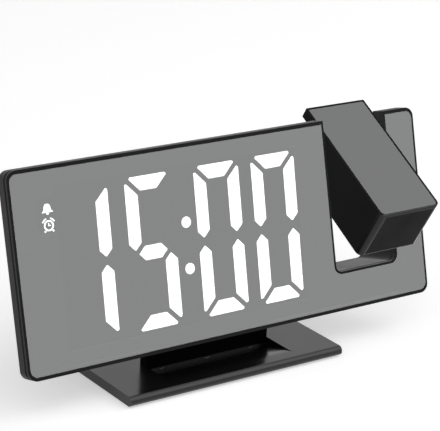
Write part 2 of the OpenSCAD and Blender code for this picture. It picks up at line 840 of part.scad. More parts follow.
// A rear button: its cap shows outside, its flange is held behind the wall, its leg meets a switch
module rear_button(i) {
  x = button_x(i);
  leg_y = main_back + switch_h + switch_stem_h + button_stem_gap;
  flange_back = back_floor - 0.1;
  flange_front = flange_back - 1.1;
  color("#141516") on_body() {
    deep(flange_front, flange_back) rounded_rect(x - button_w / 2 - 1, button_z - button_h / 2 - 1,
      x + button_w / 2 + 1, button_z + button_h / 2 + 1, 1.5);
    deep(flange_back - tiny, back_d + 0.8) rounded_rect(x - button_w / 2, button_z - button_h / 2,
      x + button_w / 2, button_z + button_h / 2, 1.5);
    if (leg_y < flange_front) bar_y(x, leg_y, flange_front + tiny, button_z, 1.5);
  }
}
module mode_button() { rear_button(0); }
module up_button() { rear_button(1); }
module down_button() { rear_button(2); }
module alarm_button() { rear_button(3); }
module projector_button() { rear_button(4); }

module snooze_bar() {
  flange_top = back_top - case_wall - 0.1;
  flange_foot = flange_top - 0.9;
  leg_foot = snooze_switch_top + switch_stem_h + snooze_travel + 0.1;
  x0 = snooze_x - snooze_w / 2;
  x1 = snooze_x + snooze_w / 2;
  y0 = snooze_y - snooze_d / 2;
  y1 = snooze_y + snooze_d / 2;
  color("#141516") on_body() {
    block(x0, x1, y0, y1, flange_top - tiny, back_top + snooze_proud);
    block(x0 - 1, x1 + 1, y0 - 1, y1 + 1, flange_foot, flange_top);
    block(snooze_x - 1.5, snooze_x + 1.5, snooze_switch_y - 1, snooze_switch_y + 1, leg_foot,
      flange_foot + tiny);
  }
}

// ---- stand ----

// Flat plate with round front and back edges and a scoop before the neck
module stand_base() {
  r = base_t / 2;
  middle = foot_drop + r;
  color("#0d0d0e") difference() {
    across(base_l, base_rt) {
      translate([base_front + r, foot_drop]) square([base_depth - 2 * r, base_t]);
      for (y = [base_front + r, base_back - r]) translate([y, middle]) circle(r);
    }
    across(neck_l - neck_slot_gap, neck_rt + neck_slot_gap) polygon([
      [-scoop_len, base_top], [-scoop_len * 0.8, base_top - (base_top - scoop_floor) * 0.12],
      [-scoop_len * 0.5, base_top - (base_top - scoop_floor) * 0.5],
      [-scoop_len * 0.2, scoop_floor + 0.15], [-scoop_len * 0.05, scoop_floor], [0, scoop_floor],
      [0, neck_seat], [neck_t + neck_slot_gap, neck_seat], [neck_t + neck_slot_gap, base_top + 1],
      [-scoop_len, base_top + 1]]);
    for (x = stand_screw_x) {
      bar_z(x, neck_t / 2, -1, neck_seat + 1, screw_r + 0.15);
      bar_z(x, neck_t / 2, -1, foot_drop + screw_head_h, screw_head_r + 0.2);
    }
    for (p = foot_at) bar_z(p[0], p[1], -1, foot_t, foot_r + fit);
  }
}

foot_at = [for (x = [base_l + foot_inset, base_rt - foot_inset],
  y = [base_front + foot_inset, base_back - foot_inset]) [x, y]];

module stand_neck() {
  color("#121213") difference() {
    block(neck_l, neck_rt, 0, neck_t, neck_seat, neck_seat + neck_len);
    for (x = stand_screw_x)
      bar_z(x, neck_t / 2, neck_seat - 1, neck_seat + stand_screw_len, screw_r + 0.02);
    on_body() for (x = neck_screw_x) bar_y(x, 5, back_d, neck_screw_z, screw_r + 0.02);
  }
}

module stand_screws() {
  color("#3a3b3d") for (x = stand_screw_x) {
    bar_z(x, neck_t / 2, foot_drop + 0.1, foot_drop + screw_head_h, screw_head_r);
    bar_z(x, neck_t / 2, foot_drop + screw_head_h - tiny, foot_drop + stand_screw_len, screw_r);
  }
}

module neck_screws() {
  color("#3a3b3d") on_body() for (x = neck_screw_x)
    screw_y(x, back_d - 0.05, neck_screw_z, neck_screw_len);
}

module rubber_feet() {
  color("#1a1a1a") for (p = foot_at) bar_z(p[0], p[1], 0, foot_t, foot_r);
}

// ---- hinge ----

// A bush pressed into the rear case beside the notch. side is -1 on the left and 1 on the right.
module bush(side, shaft_r) {
  face = side < 0 ? notch_l : notch_rt;
  inner = shaft_r + running_gap;
  outer = inner + bush_wall;
  color("#c8c3b2") on_body() translate([face, hinge_w, hinge_z]) rotate([0, side * 90, 0])
    difference() {
      union() {
        cylinder(bush_len, outer, outer);
        translate([0, 0, bush_len - bush_flange_t]) cylinder(bush_flange_t, bush_flange_r,
          bush_flange_r);
      }
      translate([0, 0, -1]) cylinder(bush_len + 2, inner, inner);
    }
}
module hinge_bush_left() { bush(-1, axle_l_r); }
module hinge_bush_right() { bush(1, axle_r_r); }

// How far an axle reaches from the notch's side into the case
axle_reach = bush_len + 0.1 + washer_t + clip_t + 1.1;
clip_at = bush_len + 0.1 + washer_t;
groove_depth = 0.5;

// An axle along +X from its flange inside the projector's side wall out into the case
module axle(shaft_r, bore_r) {
  wall_face = projector_wall + projector_gap;
  difference() {
    union() {
      translate([0, 0, -wall_face - tiny])
        cylinder(wall_face + axle_reach + tiny, shaft_r, shaft_r);
      translate([0, 0, -wall_face - axle_flange_t])
        cylinder(axle_flange_t, axle_flange_r, axle_flange_r);
    }
    translate([0, 0, clip_at]) difference() {
      cylinder(clip_t, shaft_r + 1, shaft_r + 1);
      translate([0, 0, -1]) cylinder(clip_t + 2, shaft_r - groove_depth, shaft_r - groove_depth);
    }
    if (bore_r > 0) translate([0, 0, -wall_face - axle_flange_t - 1])
      cylinder(wall_face + axle_flange_t + axle_reach + 2, bore_r, bore_r);
  }
}

module beside_notch(side) {
  on_projector() translate([side < 0 ? notch_l : notch_rt, 0, 0]) rotate([0, side * 90, 0])
    children();
}

module hinge_axle_left() { color("#8d8f92") beside_notch(-1) axle(axle_l_r, axle_bore_r); }
module hinge_axle_right() { color("#8d8f92") beside_notch(1) axle(axle_r_r, 0); }

// Spring washers that press each bush and give the hinge its drag
module hinge_washers() {
  color("#a9abae") for (side = [-1, 1]) beside_notch(side) {
    r = (side < 0 ? axle_l_r : axle_r_r) + fit;
    translate([0, 0, bush_len + 0.1]) difference() {
      cylinder(washer_t, r + 1.5, r + 1.5);
      translate([0, 0, -1]) cylinder(washer_t + 2, r, r);
    }
  }
}

// Open clips that snap into the axles' grooves
module hinge_clips() {
  color("#77797c") for (side = [-1, 1]) beside_notch(side) {
    shaft_r = side < 0 ? axle_l_r : axle_r_r;
    r = shaft_r - groove_depth + 0.02;
    translate([0, 0, clip_at + 0.02]) difference() {
      cylinder(clip_t - 0.04, shaft_r + 1.4, shaft_r + 1.4);
      translate([0, 0, -1]) cylinder(clip_t + 2, r, r);
      translate([0, -r * 0.7, -1]) cube([shaft_r + 3, r * 1.4, clip_t + 2]);
    }
  }
}

// ---- lamp leads ----

lead_end_x = main_rt - 11;
lead_end_z = main_top + 0.5;              // top of the socket, just over the board's edge
axle_end = notch_l - axle_reach;

// From the hollow axle's mouth across and down to its socket on the main board
module case_lead() {
  color("#8c2f2a") on_body() lead([[axle_end - 0.5, hinge_w, hinge_z],
    [lead_end_x, hinge_w, hinge_z], [lead_end_x, hinge_w, lead_end_z]], lead_r);
}

// From the hollow axle down inside the projector to the lamp's board. It turns with the projector.
module lamp_lead() {
  x = inner_l + 2.1;
  bend_x = inner_l + axle_flange_t + lead_r + 0.4;
  color("#8c2f2a") on_projector() lead([[axle_end - 0.2, 0, 0],
    [bend_x, 0, 0], [bend_x, 2, -7], [x, 2, -12], [x, 2, lamp_board_z + lamp_board_t]], lead_r);
}

// ---- projector ----

module projector_face(inset) {
  r = nose_r - min(inset, nose_r - 0.5);
  top_r = 0.6;
  x0 = proj_l + inset;
  x1 = proj_rt - inset;
  z0 = proj_foot + inset;
  z1 = proj_top - inset;
  translate([x0 + r, z0]) square([x1 - x0 - 2 * r, z1 - z0 - top_r]);
  translate([x0, z0 + r]) square([x1 - x0, z1 - z0 - r - top_r]);
  translate([x0 + top_r, z1 - 2 * top_r]) square([x1 - x0 - 2 * top_r, 2 * top_r]);
  for (x = [x0 + r, x1 - r]) translate([x, z0 + r]) circle(r);
  for (x = [x0 + top_r, x1 - top_r]) translate([x, z1 - top_r]) circle(top_r);
}

// Side profile of the block, with its hood over the lens and its round lower edges
module projector_profile() {
  translate([proj_front, proj_foot + edge_r])
    square([projector_d, step_z - proj_foot - edge_r]);
  translate([proj_front + edge_r, proj_foot]) square([projector_d - 2 * edge_r, edge_r * 2]);
  for (y = [proj_front + edge_r, proj_back - edge_r])
    translate([y, proj_foot + edge_r]) circle(edge_r);
  translate([proj_front, step_z - 1]) square([hood_t, proj_top - step_z + 1]);
}

module projector_shell() {
  color("#151617") on_projector() difference() {
    union() {
      difference() {
        intersection() {
          deep(proj_front, proj_back) projector_face(0);
          across(proj_l, proj_rt) projector_profile();
        }
        deep(proj_front - 1, proj_front + pane_t) projector_face(projector_bezel);
        block(inner_l, inner_rt, inner_front, proj_back + 1, inner_foot, inner_top);
      }
      for (p = cover_screw_at)
        bar_y(p[0], inner_front - tiny, inner_back, p[1], cover_post_r);
    }
    for (p = cover_screw_at) bar_y(p[0], inner_back - 8, inner_back + 1, p[1], screw_r + 0.02);
    bar_x(proj_l - 1, inner_l + 1, 0, 0, axle_l_r + 0.02);
    bar_x(inner_rt - 1, proj_rt + 1, 0, 0, axle_r_r + 0.02);
    bar_z(proj_x, lens_y, inner_top - 1, step_z + 1, barrel_r + 1 + 2 * running_gap);
  }
}

module projector_mirror() {
  color("#8a8c8a") on_projector() deep(proj_front, proj_front + pane_t)
    projector_face(projector_bezel + fit);
}

module projector_cover() {
  color("#1b1c1e") on_projector() difference() {
    block(inner_l + 0.1, inner_rt - 0.1, inner_back, proj_back - 0.1, inner_foot + 0.1,
      inner_top - 0.1);
    for (p = cover_screw_at) {
      bar_y(p[0], inner_back - 1, proj_back + 1, p[1], screw_r + 0.15);
      bar_y(p[0], proj_back - 1.1, proj_back + 1, p[1], screw_head_r + 0.2);
    }
  }
}

module projector_screws() {
  head_back = proj_back - 0.2;
  color("#3a3b3d") on_projector() for (p = cover_screw_at) {
    bar_y(p[0], inner_back - 6, head_back - 0.8, p[1], screw_r);
    difference() {
      bar_y(p[0], head_back - 0.9, head_back, p[1], screw_head_r);
      block(p[0] - 1.6, p[0] + 1.6, head_back - 0.5, head_back + 1, p[1] - 0.3, p[1] + 0.3);
    }
  }
}

// Moulded carrier for the condenser and the image slide, with a guide tube for the lens barrel
module optics_frame() {
  channel = 3.6;                          // room for the lead along the left wall
  slide_half = condenser_r + 0.6;
  guide_r = barrel_r + running_gap;
  color("#232426") on_projector() difference() {
    union() {
      block(inner_l + channel, inner_rt - 0.1, inner_front + 0.1, inner_back - 0.1, frame_foot,
        frame_top);
      bar_z(proj_x, lens_y, frame_top - tiny, guide_top, guide_r + 1.4);
    }
    bar_z(proj_x, lens_y, frame_foot - 1, frame_top - 3, condenser_r + fit);
    bar_z(proj_x, lens_y, frame_top - 4, guide_top + 1, guide_r);
    block(proj_x - slide_half, proj_x + slide_half, lens_y - slide_half, lens_y + slide_half,
      frame_top - 6, frame_top - 4.6);
  }
}

module lamp_board() {
  color("#d9dadb") on_projector() block(inner_l + 0.15, inner_rt - 0.15, inner_front + 0.15,
    inner_back - 0.2, lamp_board_z, lamp_board_z + lamp_board_t);
}

module lamp_led() {
  z0 = lamp_board_z + lamp_board_t;
  half = 1.75;
  color("#d42a22") on_projector() {
    block(proj_x - half, proj_x + half, lens_y - half, lens_y + half, z0, z0 + 1.1);
    intersection() {
      translate([proj_x, lens_y, z0 + 1.1]) sphere(1.5);
      block(proj_x - 2, proj_x + 2, lens_y - 2, lens_y + 2, z0 + 1, z0 + 4);
    }
  }
}

// A lens flat on its lower side, with a rim and a round upper side
module plano_lens(x, y, z, r, rim, rise) {
  ball = (r * r + rise * rise) / (2 * rise);
  translate([x, y, z]) intersection() {
    cylinder(rim + rise + 1, r, r);
    translate([0, 0, rim + rise - ball]) sphere(ball, $fn = 96);
  }
}

module condenser_lens() {
  color("#cfe0e6") on_projector()
    plano_lens(proj_x, lens_y, frame_foot + 2, condenser_r, 1.5, 3);
}

module image_slide() {
  half = condenser_r + 0.5;
  color("#3a4348") on_projector() block(proj_x - half, proj_x + half, lens_y - half,
    lens_y + half, frame_top - 5.9, frame_top - 4.7);
}

module lens_barrel() {
  color("#0f1011") on_projector() difference() {
    bar_z(proj_x, lens_y, barrel_foot, barrel_top, barrel_r);
    bar_z(proj_x, lens_y, barrel_foot - 1, barrel_top - 4, barrel_r - barrel_wall - 0.6);
    bar_z(proj_x, lens_y, barrel_top - 3.4, barrel_top + 1, barrel_r - barrel_wall);
    bar_z(proj_x, lens_y, barrel_top - 5, barrel_top, barrel_r - barrel_wall - 1);
  }
}

module projection_lens() {
  color("#c4304a") on_projector() plano_lens(proj_x, lens_y, barrel_top - 3.4,
    barrel_r - barrel_wall - fit, 1.2, 1.4);
}

// Turning ring that is trapped in the block's end wall and screws the barrel in and out
module focus_ring() {
  groove_r = barrel_r + 1;
  bore_r = barrel_r + running_gap;
  rib_count = 24;
  color("#0f1011") on_projector() difference() {
    union() {
      bar_z(proj_x, lens_y, step_z + 0.15, proj_top - 0.6, focus_r);
      bar_z(proj_x, lens_y, inner_top - 0.3, step_z + 0.2, groove_r);
      bar_z(proj_x, lens_y, inner_top - 1.2, inner_top - 0.15, groove_r + 0.9);
    }
    bar_z(proj_x, lens_y, inner_top - 2, proj_top, bore_r);
    for (i = [0 : rib_count - 1]) translate([proj_x, lens_y, 0]) rotate([0, 0, i * 15])
      block(focus_r - 0.35, focus_r + 1, -0.35, 0.35, step_z + 0.6, proj_top - 1);
  }
}

front_frame();
mirror_pane();
rear_case();
display_block();
lit_segments();
unlit_segments();
colon_dots();
alarm_window();
alarm_icons();
display_board();
display_leds();
main_board();
board_parts();
board_header();
board_screws();
button_switches();
speaker();
cell_holder();
coin_cell();
battery_door();
power_socket();
usb_port();
mode_button();
up_button();
down_button();
alarm_button();
projector_button();
snooze_bar();
case_screws();
stand_base();
stand_neck();
stand_screws();
neck_screws();
rubber_feet();
hinge_bush_left();
hinge_bush_right();
hinge_axle_left();
hinge_axle_right();
hinge_washers();
hinge_clips();
case_lead();
projector_shell();
projector_mirror();
projector_cover();
projector_screws();
optics_frame();
lamp_board();
lamp_led();
condenser_lens();
image_slide();
lamp_lead();
focus_ring();
lens_barrel();
projection_lens();
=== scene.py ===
import json
import math

import bmesh
import bpy
from mathutils import Matrix, Vector

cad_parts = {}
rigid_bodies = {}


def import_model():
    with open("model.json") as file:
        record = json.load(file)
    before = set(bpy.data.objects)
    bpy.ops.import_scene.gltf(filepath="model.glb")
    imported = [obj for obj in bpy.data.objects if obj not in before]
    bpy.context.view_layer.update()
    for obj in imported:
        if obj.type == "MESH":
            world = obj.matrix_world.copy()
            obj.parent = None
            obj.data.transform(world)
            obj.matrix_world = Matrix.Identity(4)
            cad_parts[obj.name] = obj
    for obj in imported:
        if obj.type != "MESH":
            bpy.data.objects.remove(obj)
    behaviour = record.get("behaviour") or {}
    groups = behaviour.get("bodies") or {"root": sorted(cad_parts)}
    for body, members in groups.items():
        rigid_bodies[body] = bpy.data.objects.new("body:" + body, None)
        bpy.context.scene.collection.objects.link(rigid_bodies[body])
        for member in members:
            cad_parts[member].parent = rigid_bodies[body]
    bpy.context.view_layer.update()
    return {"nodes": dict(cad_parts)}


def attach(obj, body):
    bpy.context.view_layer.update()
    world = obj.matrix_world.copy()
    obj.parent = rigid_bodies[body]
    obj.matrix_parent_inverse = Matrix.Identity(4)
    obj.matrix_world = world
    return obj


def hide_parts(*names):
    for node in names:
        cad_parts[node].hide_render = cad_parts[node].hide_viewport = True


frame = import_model()
nodes = frame["nodes"]

# ---- Camera and studio ----
# A long lens looks down at the clock from its front left. The floor is one large sheet of white
# paper. A soft sky and three soft boxes light the clock, and the background is white to the camera
# and in the clock's mirrors and gloss.

AIM = Vector((-0.01447, -0.0171, 0.07024))
CAMERA_TURN = math.radians(36.41)
CAMERA_DROP = math.radians(19.48)
CAMERA_ROLL = math.radians(3.13)
CAMERA_DISTANCE = 0.7471
LENS = 158.68
CLIP_START = 0.01
FLOOR_REACH = 6
PAPER = 0.8
PAPER_GLOW = 0.45
WHITE = (1, 1, 1, 1)

# Stretches of the sky: its strength at their two ends, and then where they start and end along an
# axis of the sky's directions.
SKY_RISE = (0.7, 1, 0.02, 0.11)
SKY_FADE = (1, 0.7, 0.14, 0.8)
SKY_LEFT = (0.68, 1.15, 0.44, 0.57)
SKY_RIGHT = (1, 0.42, 0.56, 0.63)
FLAG_FRONT = (1, 0.05, 0.2, 0.34)
FLAG_BACK = (0.05, 1, 0.56, 0.76)

# Soft boxes: name, place, size and power in watts. All of them point at the clock's middle.
SOFTBOX_AIM = Vector((0, 0, 0.05))
SOFTBOXES = (("left_softbox", (-0.9, -1.0, 1.4), (1.6, 1.6), 8),
             ("right_softbox", (1.3, -0.2, 0.4), (0.2, 0.2), 1.5),
             ("top_softbox", (0.95, -0.8, 1.15), (1.5, 1.5), 9.5))


def add_camera():
    turn, drop, roll = CAMERA_TURN, CAMERA_DROP, CAMERA_ROLL
    look = Vector((math.sin(turn) * math.cos(drop), math.cos(turn) * math.cos(drop),
                   -math.sin(drop)))
    level = Vector((math.cos(turn), -math.sin(turn), 0))
    upright = level.cross(look)
    right = math.cos(roll) * level + math.sin(roll) * upright
    up = math.cos(roll) * upright - math.sin(roll) * level
    data = bpy.data.cameras.new("studio_camera")
    data.sensor_width = 36
    data.sensor_fit = "HORIZONTAL"
    data.lens = LENS
    data.clip_start = CLIP_START
    camera = bpy.data.objects.new("studio_camera", data)
    bpy.context.scene.collection.objects.link(camera)
    camera.matrix_world = Matrix((right, up, -look)).transposed().to_4x4()
    camera.location = AIM - look * CAMERA_DISTANCE
    bpy.context.scene.camera = camera


def add_softbox(name, place, size, power):
    data = bpy.data.lights.new(name, "AREA")
    data.shape = "RECTANGLE"
    data.size, data.size_y = size
    data.energy = power
    box = bpy.data.objects.new(name, data)
    bpy.context.scene.collection.objects.link(box)
    box.location = place
    box.rotation_euler = (SOFTBOX_AIM - Vector(place)).to_track_quat("-Z", "Y").to_euler()


def add_node(tree, kind, **values):
    """Adds a shader node and sets its inputs, which are named with _ for a space."""
    node = tree.nodes.new("ShaderNode" + kind)
    for name, value in values.items():
        node.inputs[name.replace("_", " ")].default_value = value
    return node


def add_range(tree, source, low, high, from_low=0.0, from_high=1.0):
    """A value stretched from one range to another."""
    node = add_node(tree, "MapRange", From_Min=from_low, From_Max=from_high, To_Min=low,
                    To_Max=high)
    tree.links.new(source, node.inputs["Value"])
    return node.outputs["Result"]


def add_math(tree, operation, first, second):
    node = add_node(tree, "Math")
    node.operation = operation
    tree.links.new(first, node.inputs[0])
    tree.links.new(second, node.inputs[1])
    return node.outputs[0]


def add_seen_rays(tree):
    """1 for the camera's rays and for those that mirrors, gloss and glass send on, 0 for light."""
    rays = add_node(tree, "LightPath")
    through = add_math(tree, "MAXIMUM", rays.outputs["Is Camera Ray"],
                       rays.outputs["Is Transmission Ray"])
    return add_math(tree, "MAXIMUM", through, rays.outputs["Is Glossy Ray"])


def add_sky():
    """Brightest a little above the horizon, greyer overhead and to the sides of the middle, with a
    dark flag across it behind the clock. Only its light is graded: what is seen is plain white."""
    world = bpy.data.worlds.new("studio_sky")
    bpy.context.scene.world = world
    world.use_nodes = True
    tree = world.node_tree
    tree.nodes.clear()
    where = add_node(tree, "TexCoord")
    axes = add_node(tree, "SeparateXYZ")
    tree.links.new(where.outputs["Generated"], axes.inputs[0])
    low = add_range(tree, axes.outputs["Z"], *SKY_RISE)
    high = add_range(tree, axes.outputs["Z"], *SKY_FADE)
    left = add_range(tree, axes.outputs["X"], *SKY_LEFT)
    right = add_range(tree, axes.outputs["X"], *SKY_RIGHT)
    flag_front = add_range(tree, axes.outputs["Y"], *FLAG_FRONT)
    flag_back = add_range(tree, axes.outputs["Y"], *FLAG_BACK)
    across = add_math(tree, "MULTIPLY", left, right)
    upwards = add_math(tree, "MULTIPLY", low, high)
    plain = add_math(tree, "MULTIPLY", across, upwards)
    flag = add_math(tree, "MAXIMUM", flag_front, flag_back)
    grey = add_node(tree, "Background", Color=WHITE)
    tree.links.new(add_math(tree, "MULTIPLY", plain, flag), grey.inputs["Strength"])
    white = add_node(tree, "Background", Color=WHITE)
    mix = add_node(tree, "MixShader")
    tree.links.new(add_seen_rays(tree), mix.inputs["Fac"])
    tree.links.new(grey.outputs[0], mix.inputs[1])
    tree.links.new(white.outputs[0], mix.inputs[2])
    output = add_node(tree, "OutputWorld")
    tree.links.new(mix.outputs[0], output.inputs["Surface"])


def add_floor():
    """White paper. Where it is seen it glows a little, so that it fades into the white behind."""
    mesh = bmesh.new()
    bmesh.ops.create_grid(mesh, x_segments=2, y_segments=2, size=FLOOR_REACH)
    data = bpy.data.meshes.new("studio_floor")
    mesh.to_mesh(data)
    mesh.free()
    floor = bpy.data.objects.new("studio_floor", data)
    bpy.context.scene.collection.objects.link(floor)
    paper = bpy.data.materials.new("floor_paper")
    paper.use_nodes = True
    tree = paper.node_tree
    tree.nodes.clear()
    sheet = add_node(tree, "BsdfDiffuse", Color=(PAPER, PAPER, PAPER, 1))
    glow = add_node(tree, "Emission", Color=WHITE)
    strength = add_range(tree, add_seen_rays(tree), 0, PAPER_GLOW)
    tree.links.new(strength, glow.inputs["Strength"])
    both = add_node(tree, "AddShader")
    tree.links.new(sheet.outputs[0], both.inputs[0])
    tree.links.new(glow.outputs[0], both.inputs[1])
    output = add_node(tree, "OutputMaterial")
    tree.links.new(both.outputs[0], output.inputs["Surface"])
    data.materials.append(paper)


bpy.context.scene.view_settings.view_transform = "Standard"
add_camera()
add_sky()
add_floor()
for softbox in SOFTBOXES:
    add_softbox(*softbox)

# ---- Stand base ----
# A heavy plate moulded in piano-black plastic, with round front and back edges. A scoop in its top
# runs down to the neck's foot. Its surface is polished, with faint clouds where it was wiped.


def finished(mesh, name, smooth_angle=35):
    """A mesh made into an object, with its round edges shaded smooth and its flat faces flat."""
    data = bpy.data.meshes.new(name)
    mesh.to_mesh(data)
    mesh.free()
    data.shade_smooth()
    data.set_sharp_from_angle(angle=math.radians(smooth_angle))
    item = bpy.data.objects.new(name, data)
    bpy.context.scene.collection.objects.link(item)
    flats = item.modifiers.new("flat_faces", "WEIGHTED_NORMAL")
    flats.mode = "FACE_AREA"
    flats.weight = 100
    flats.keep_sharp = True
    return item


def joined_copy(node):
    """A CAD node's mesh with its loose triangles joined into clean flat faces."""
    mesh = bmesh.new()
    mesh.from_mesh(nodes[node].data)
    bmesh.ops.remove_doubles(mesh, verts=mesh.verts, dist=0.000002)
    bmesh.ops.dissolve_limit(mesh, angle_limit=math.radians(0.5), verts=mesh.verts,
                             edges=mesh.edges)
    return mesh


def round_edges(mesh, edges, width, segments):
    bmesh.ops.bevel(mesh, geom=edges, offset=width, affect="EDGES", segments=segments,
                    profile=0.5, material=-1, clamp_overlap=True)


def sharp_edges(mesh, angle=30):
    return [edge for edge in mesh.edges if len(edge.link_faces) == 2
            and edge.calc_face_angle(0) > math.radians(angle)]


def softened(node, name, width, segments=3):
    """A moulded piece: a CAD node's shape with every sharp edge rounded by the given width."""
    mesh = joined_copy(node)
    round_edges(mesh, sharp_edges(mesh), width, segments)
    return finished(mesh, name)


def fit(item, body, material, slot, *stands_for):
    """Gives a piece its material and body, and lets it stand for the CAD nodes it replaces."""
    item.data.materials.clear()
    item.data.materials.append(material)
    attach(item, body)
    if stands_for:
        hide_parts(*stands_for)


def finish_node(node, material):
    """Gives a CAD node that is shown as it is its material."""
    nodes[node].data.materials.clear()
    nodes[node].data.materials.append(material)


def new_material(name, colour, roughness, metallic=0.0, gloss=0.5):
    """A plain surface. gloss is its specular level, which is low for a dead matt plastic."""
    material = bpy.data.materials.new(name)
    material.use_nodes = True
    shader = material.node_tree.nodes["Principled BSDF"]
    shader.inputs["Base Color"].default_value = (*colour, 1)
    shader.inputs["Roughness"].default_value = roughness
    shader.inputs["Metallic"].default_value = metallic
    shader.inputs["Specular IOR Level"].default_value = gloss
    return material, material.node_tree, shader


def add_noise(tree, grain, detail=3.0, stretch=(1, 1, 1)):
    """Cloudy noise with marks of about the given size in metres, squeezed along an axis."""
    where = add_node(tree, "TexCoord")
    turn = add_node(tree, "Mapping", Scale=stretch)
    tree.links.new(where.outputs["Object"], turn.inputs["Vector"])
    noise = add_node(tree, "TexNoise", Scale=1 / grain, Detail=detail, Roughness=0.55)
    tree.links.new(turn.outputs["Vector"], noise.inputs["Vector"])
    return noise.outputs["Fac"]


def add_relief(tree, shader, height, depth):
    bump = add_node(tree, "Bump", Distance=depth, Strength=1)
    tree.links.new(height, bump.inputs["Height"])
    tree.links.new(bump.outputs["Normal"], shader.inputs["Normal"])


def add_tint(tree, shader, amount, first, second):
    """Base colour that swings between two colours."""
    tone = add_node(tree, "Mix")
    tone.data_type = "RGBA"
    tone.inputs["A"].default_value = (*first, 1)
    tone.inputs["B"].default_value = (*second, 1)
    tree.links.new(amount, tone.inputs["Factor"])
    tree.links.new(tone.outputs["Result"], shader.inputs["Base Color"])


def moulded(name, colour, roughness, gloss=0.5, grain=0.0004, relief=0.00002, cloud=0.15):
    """Moulded plastic: a fine grain in its surface, and faint cloudy changes of its gloss."""
    material, tree, shader = new_material(name, colour, roughness, gloss=gloss)
    fine = add_noise(tree, grain)
    add_relief(tree, shader, fine, relief)
    wide = add_noise(tree, 0.018, 5)
    swing = add_range(tree, wide, roughness * (1 - cloud), roughness * (1 + cloud), 0.3, 0.7)
    tree.links.new(swing, shader.inputs["Roughness"])
    add_tint(tree, shader, fine, [c * 0.8 for c in colour], [c * 1.2 for c in colour])
    return material


piano_black = moulded("piano_black", (0.004, 0.004, 0.0042), 0.2, gloss=0.4, grain=0.012,
                      relief=0.0000006, cloud=0.2)
fit(softened("stand_base", "stand_base_plate", 0.0003), "clock", piano_black, "base_gloss",
    "stand_base")

# ---- Neck, feet and stand screws ----
# The neck is a wide upright plate in satin black, painted darker than the base as painted shade
# under the body. It stands on a ledge in the base, where three screws hold it from below, and four
# soft rubber feet carry the base.

# Its very dark colour is painted shade from the body that overhangs the neck.
neck_satin_painted_shade = moulded("neck_satin_painted_shade", (0.0012, 0.0012, 0.0013), 0.3, gloss=0.03, grain=0.003,
                     relief=0.000001, cloud=0.2)
fit(softened("stand_neck", "stand_neck_plate", 0.0003), "clock", neck_satin_painted_shade, "neck_black",
    "stand_neck")

foot_rubber = moulded("foot_rubber", (0.028, 0.028, 0.028), 0.85, gloss=0.3, grain=0.0005,
                      relief=0.00004)
fit(softened("rubber_feet", "rubber_foot_pads", 0.00015, 2), "clock", foot_rubber, "foot_rubber",
    "rubber_feet")


def metal(name, colour, roughness, grain=0.0002, stretch=(1, 1, 1), relief=0.000008):
    """Machined or plated metal with fine tool marks."""
    material, tree, shader = new_material(name, colour, roughness, metallic=1)
    marks = add_noise(tree, grain, 2, stretch)
    add_relief(tree, shader, marks, relief)
    swing = add_range(tree, marks, roughness * 0.7, roughness * 1.3)
    tree.links.new(swing, shader.inputs["Roughness"])
    add_tint(tree, shader, marks, [c * 0.88 for c in colour], colour)
    return material


black_oxide = metal("black_oxide", (0.07, 0.07, 0.075), 0.4)
for screws, body in (("stand_screws", "clock"), ("neck_screws", "clock"),
                     ("case_screws", "clock"), ("projector_screws", "projector")):
    fit(softened(screws, screws + "_turned", 0.0001, 2), body, black_oxide, "screw_black", screws)

# ---- Rear case ----
# The black shell that carries everything: a thin rim behind the front frame, and a raised back
# with the boards, the speaker's slots and the holes for buttons and plugs. Its fine spark-eroded
# grain makes it softer and a little paler than the frame.

case_grain = moulded("case_grain", (0.007, 0.0071, 0.0075), 0.38, gloss=0.155, grain=0.0006,
                     relief=0.00006)
fit(softened("rear_case", "rear_case_shell", 0.0003), "clock", case_grain, "case_black",
    "rear_case")

# ---- Boards ----
# Green glass-fibre boards with copper tracks and plated holes under the solder mask. They carry
# moulded black chips, push switches and a header that joins the two boards.

TRACK_SCALE = 260
HOLE_SCALE = 420


def solder_mask():
    """Tracks as thin raised lines, with plated holes dotted between them."""
    material, tree, shader = new_material("green_solder_mask", (0.02, 0.11, 0.05), 0.35)
    where = add_node(tree, "TexCoord")
    tracks = add_node(tree, "TexVoronoi", Scale=TRACK_SCALE)
    tracks.distance = "MANHATTAN"
    tracks.feature = "DISTANCE_TO_EDGE"
    tree.links.new(where.outputs["Object"], tracks.inputs["Vector"])
    edge = add_range(tree, tracks.outputs["Distance"], 1, 0, 0.06, 0.1)
    add_tint(tree, shader, edge, (0.012, 0.075, 0.033), (0.035, 0.17, 0.07))
    add_relief(tree, shader, edge, 0.00003)
    holes = add_node(tree, "TexVoronoi", Scale=HOLE_SCALE)
    tree.links.new(where.outputs["Object"], holes.inputs["Vector"])
    plated = add_range(tree, holes.outputs["Distance"], 1, 0, 0.1, 0.12)
    tree.links.new(plated, shader.inputs["Metallic"])
    return material


green_mask = solder_mask()
finish_node("main_board", green_mask)
finish_node("display_board", green_mask)

chip_epoxy = moulded("chip_epoxy", (0.018, 0.018, 0.019), 0.6, gloss=0.4, grain=0.0002,
                     relief=0.00001)
finish_node("board_parts", chip_epoxy)
finish_node("board_header", chip_epoxy)
finish_node("button_switches", chip_epoxy)
finish_node("board_screws", metal("zinc_plate", (0.6, 0.6, 0.61), 0.3))

# ---- Plug sockets ----
# A USB outlet that charges a phone and a small power inlet, both folded from tin-plated sheet and
# soldered to the main board. The outlet's tongue is white plastic with four gilt contacts.

LEAN = math.radians(15)
BODY_FRAME = Matrix.Translation((0, -0.01725, 0.01775)) @ Matrix.Rotation(-LEAN, 4, "X")
TONGUE_PLACE = (-0.080125, 0.0182, 0.045)
TONGUE_SIZE = (0.01105, 0.00184, 0.01084)
CONTACT_SIZE = (0.0075, 0.0002, 0.001)
CONTACT_ROWS = (-0.0035, -0.001, 0.001, 0.0035)


